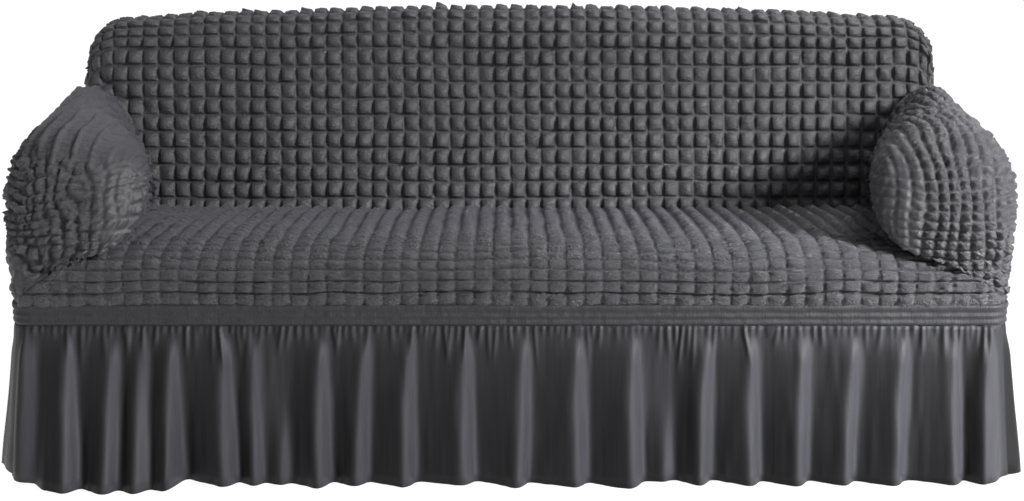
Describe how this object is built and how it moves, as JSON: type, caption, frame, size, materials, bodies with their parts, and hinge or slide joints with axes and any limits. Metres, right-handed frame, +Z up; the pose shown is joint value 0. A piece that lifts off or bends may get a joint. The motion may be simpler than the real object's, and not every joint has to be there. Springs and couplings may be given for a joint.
{
  "type": "sofa slipcover",
  "caption": "Fitted stretch cover for a long sofa: puffed check panels over back, seat and arms, an elastic band and a gathered skirt to the floor.",
  "frame": {"origin": "the mount under the top of the back: the underside of the cloth, at the middle of the cover's width, where the sofa's back holds it up", "axes": "+X along the sofa to its right as seen from the front, +Y from the front to the back, +Z up"},
  "size_m": [2.2033, 1.0333, 0.9481],
  "materials": {
    "puffed_cloth": "matt charcoal stretch polyester, woven in raised square puffs",
    "elastic_band": "matt charcoal cloth shirred on rows of elastic thread",
    "skirt_cloth": "matt charcoal brushed polyester, smooth and gathered"
  },
  "bodies": {
    "root": {"back_panel": "puffed_cloth", "rear_panel": "puffed_cloth", "seat_panel": "puffed_cloth", "arm_left": "puffed_cloth", "arm_right": "puffed_cloth", "band": "elastic_band", "skirt_front": "skirt_cloth", "skirt_left": "skirt_cloth", "skirt_right": "skirt_cloth", "skirt_rear": "skirt_cloth"}
  },
  "joints": []
}
